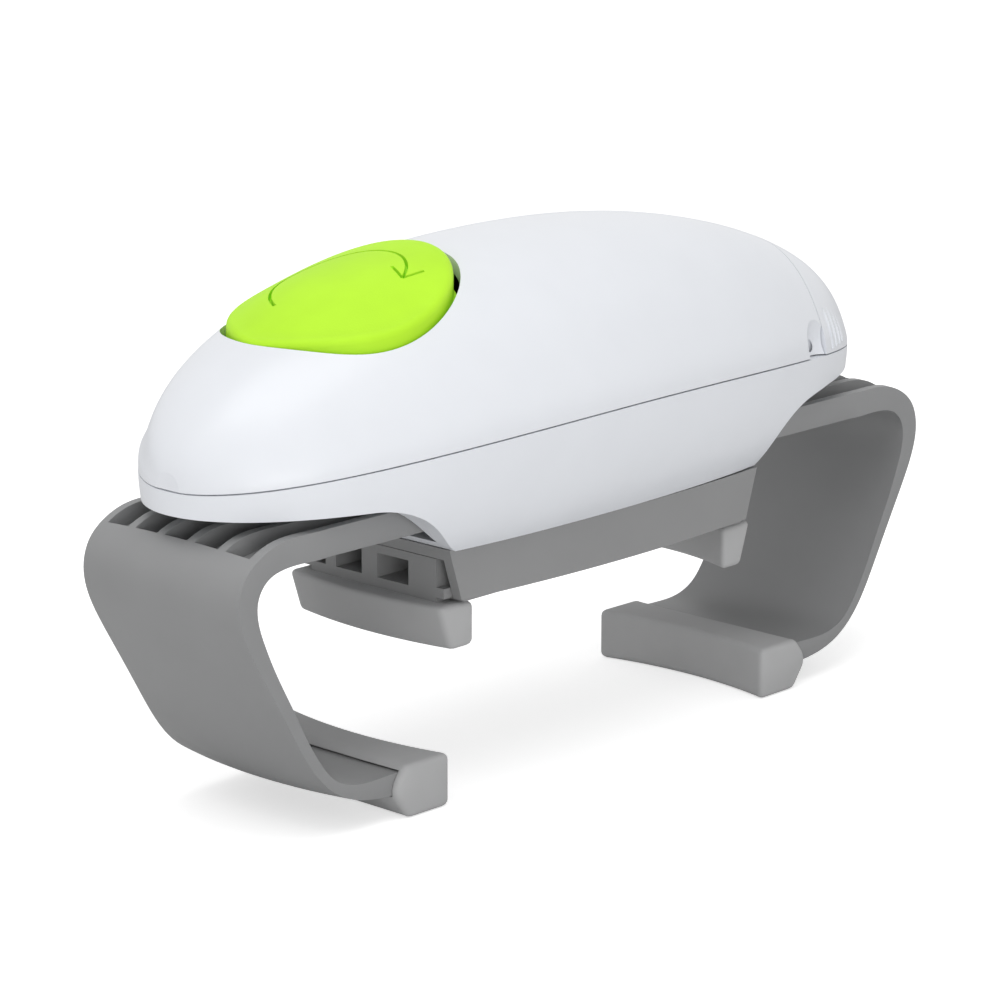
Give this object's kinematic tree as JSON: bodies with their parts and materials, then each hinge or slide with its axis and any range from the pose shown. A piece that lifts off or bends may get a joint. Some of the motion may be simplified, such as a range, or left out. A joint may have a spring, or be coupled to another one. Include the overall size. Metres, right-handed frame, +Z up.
{
  "type": "electric jar opener",
  "caption": "Egg-shaped white drive housing with a green button, two hooked grey side arms with rubber jar pads, and a turntable under it with two lid jaws.",
  "frame": {"origin": "centre of the bounding box's base, at the level of the jar pads' flat undersides and on the turntable's axis to within a few millimetres", "axes": "+X along the length, from the button end to the battery end; +Z up; the jaws and arms slide along X"},
  "size_m": [0.206, 0.0738, 0.107],
  "materials": {
    "white_shell": "satin white moulded ABS, low gloss",
    "green_button": "fine-textured lime green plastic with a soft sheen",
    "arm_grey": "fine-textured mid grey plastic",
    "frame_grey": "smooth mid grey plastic",
    "pad_grey": "soft light grey rubber, matte",
    "inner_white": "unpainted natural plastic",
    "gear_white": "natural acetal, slightly waxy",
    "steel": "bright drawn steel",
    "screw_steel": "dark passivated steel",
    "spring_metal": "nickel-plated spring wire",
    "brass_pinion": "machined brass",
    "board_green": "green lacquered laminate",
    "cell_jacket": "plain printed-film jacket",
    "switch_black": "black moulded plastic"
  },
  "bodies": {
    "housing": {"upper_shell": "white_shell", "lower_shell": "white_shell", "case_screws": "screw_steel", "deck_screws": "screw_steel", "gear_deck": "inner_white", "gear_bridge": "inner_white", "gear_axles": "steel", "spindle_bush": "gear_white", "motor": "steel", "push_switch": "switch_black", "circuit_board": "board_green", "button_spring": "spring_metal", "battery_tray": "switch_black", "battery_cells": "cell_jacket", "cell_contacts": "spring_metal"},
    "cover": {"battery_cover": "white_shell", "cover_contact": "spring_metal"},
    "button": {"button": "green_button"},
    "plunger": {"switch_plunger": "inner_white"},
    "rotor": {"motor_shaft": "steel", "motor_pinion": "brass_pinion"},
    "first_gear": {"first_gear": "gear_white"},
    "second_gear": {"second_gear": "gear_white"},
    "turntable": {"turntable_housing": "frame_grey", "turntable_spindle": "frame_grey", "turntable_retainer": "frame_grey", "retainer_screws": "screw_steel", "jaw_rails": "frame_grey", "turntable_gear": "gear_white"},
    "jaw_drive": {"jaw_pinion": "gear_white", "centre_shaft": "steel", "clutch_disc": "screw_steel"},
    "front_jaw": {"front_jaw": "frame_grey", "front_lid_pad": "pad_grey"},
    "rear_jaw": {"rear_jaw": "frame_grey", "rear_lid_pad": "pad_grey"},
    "arm_pinion": {"arm_pinion": "gear_white"},
    "front_arm": {"front_arm": "arm_grey", "front_rack": "gear_white", "front_jar_pad": "pad_grey"},
    "rear_arm": {"rear_arm": "arm_grey", "rear_rack": "gear_white", "rear_jar_pad": "pad_grey"}
  },
  "joints": [
    {"name": "front_arm_slide", "type": "slide", "parent": "housing", "child": "front_arm", "axis": [1, 0, 0], "range_m": [-0.004, 0.027]},
    {"name": "rear_arm_slide", "type": "slide", "parent": "housing", "child": "rear_arm", "axis": [-1, 0, 0], "range_m": [-0.004, 0.027]},
    {"name": "arm_pinion_spin", "type": "hinge", "parent": "housing", "child": "arm_pinion", "pos_m": [0, 0, 0.0637], "axis": [0, 0, 1], "range_deg": [-173, 26]},
    {"name": "turntable_spin", "type": "hinge", "parent": "housing", "child": "turntable", "pos_m": [0, 0, 0.0456], "axis": [0, 0, 1], "continuous": true},
    {"name": "second_gear_spin", "type": "hinge", "parent": "housing", "child": "second_gear", "pos_m": [-0.01559, 0.009, 0.0719], "axis": [0, 0, 1], "continuous": true},
    {"name": "first_gear_spin", "type": "hinge", "parent": "housing", "child": "first_gear", "pos_m": [-0.02747, -0.00288, 0.0775], "axis": [0, 0, 1], "continuous": true},
    {"name": "rotor_spin", "type": "hinge", "parent": "housing", "child": "rotor", "pos_m": [-0.04158, 0, 0.09], "axis": [0, 0, 1], "continuous": true},
    {"name": "front_jaw_slide", "type": "slide", "parent": "turntable", "child": "front_jaw", "axis": [1, 0, 0], "range_m": [-0.006, 0.025]},
    {"name": "rear_jaw_slide", "type": "slide", "parent": "turntable", "child": "rear_jaw", "axis": [-1, 0, 0], "range_m": [-0.006, 0.025]},
    {"name": "jaw_drive_spin", "type": "hinge", "parent": "turntable", "child": "jaw_drive", "pos_m": [0, 0, 0.0448], "axis": [0, 0, 1], "range_deg": [-320, 78]},
    {"name": "button_press", "type": "slide", "parent": "housing", "child": "button", "axis": [0, 0, -1], "range_m": [0, 0.0016], "stiffness_N_per_m": 400, "springref_m": -0.0005, "deforming": ["button_spring"]},
    {"name": "plunger_press", "type": "slide", "parent": "housing", "child": "plunger", "axis": [0, 0, -1], "range_m": [0, 0.0016]},
    {"name": "battery_cover_slide", "type": "slide", "parent": "housing", "child": "cover", "axis": [1, 0, 0], "range_m": [0, 0.03]}
  ],
  "couplings": [
    {"joint": "rear_arm_slide", "follows": "front_arm_slide", "ratio": 1},
    {"joint": "arm_pinion_spin", "follows": "front_arm_slide", "rad_per_m": -111.11},
    {"joint": "second_gear_spin", "follows": "turntable_spin", "ratio": -2},
    {"joint": "first_gear_spin", "follows": "turntable_spin", "ratio": 7.6},
    {"joint": "rotor_spin", "follows": "turntable_spin", "ratio": -38},
    {"joint": "rear_jaw_slide", "follows": "front_jaw_slide", "ratio": 1},
    {"joint": "jaw_drive_spin", "follows": "front_jaw_slide", "rad_per_m": -222.22},
    {"joint": "plunger_press", "follows": "button_press", "ratio": 1}
  ]
}
